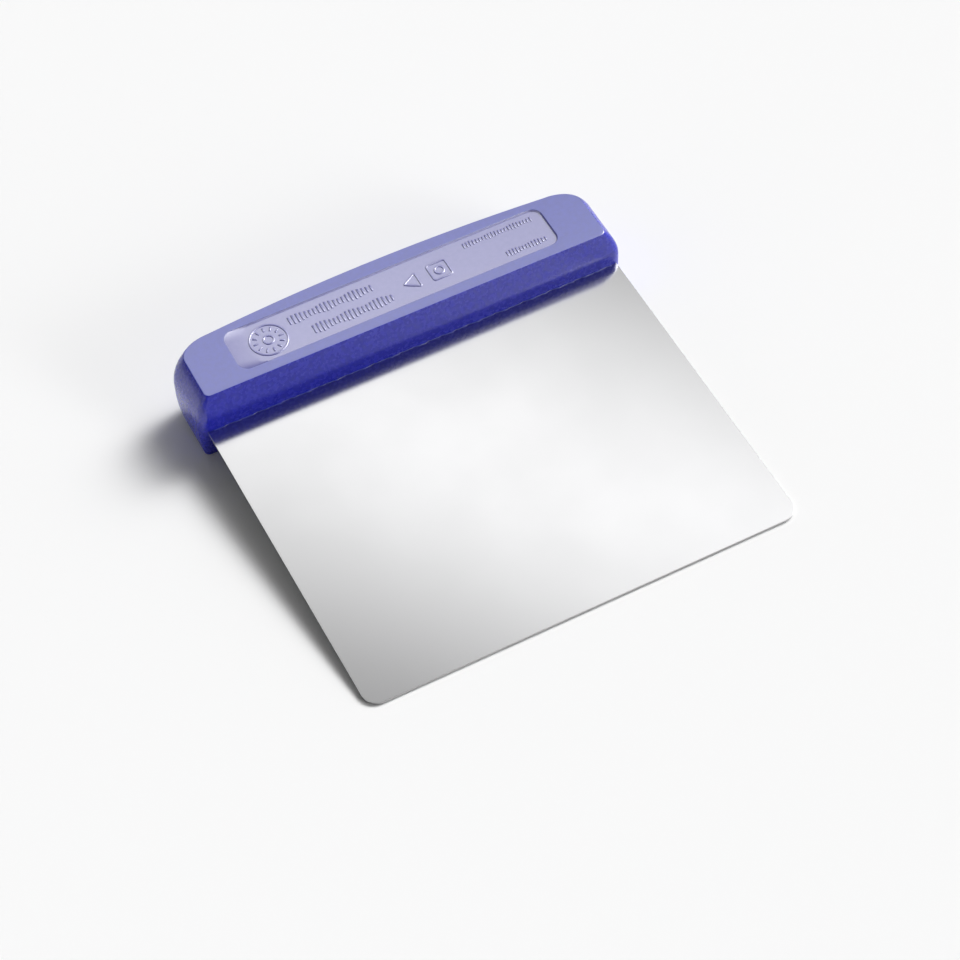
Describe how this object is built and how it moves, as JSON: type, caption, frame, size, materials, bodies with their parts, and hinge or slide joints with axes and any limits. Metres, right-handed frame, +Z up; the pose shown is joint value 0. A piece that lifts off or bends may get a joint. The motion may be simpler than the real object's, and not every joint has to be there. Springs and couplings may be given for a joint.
{
  "type": "bench scraper",
  "caption": "Bakery bench scraper: a flat rectangular steel blade with a tang moulded into a straight block handle with a bowed back and a sunk label panel.",
  "frame": {"origin": "middle of the footprint on the surface that the scraper lies on, as it is put down on a table: the front rim of the handle's underside and the cutting edge touch the surface", "axes": "+X along the cutting edge, towards the handle's right end with the cutting edge facing the viewer; -Y from the handle towards the cutting edge; +Z up. The blade's plane dips about 6 degrees towards -Y"},
  "size_m": [0.1236, 0.1188, 0.0237],
  "materials": {
    "blade_steel": "satin rolled stainless steel",
    "handle_plastic": "semi-gloss moulded polypropylene, blue"
  },
  "bodies": {
    "root": {"blade": "blade_steel", "handle": "handle_plastic"}
  },
  "joints": []
}
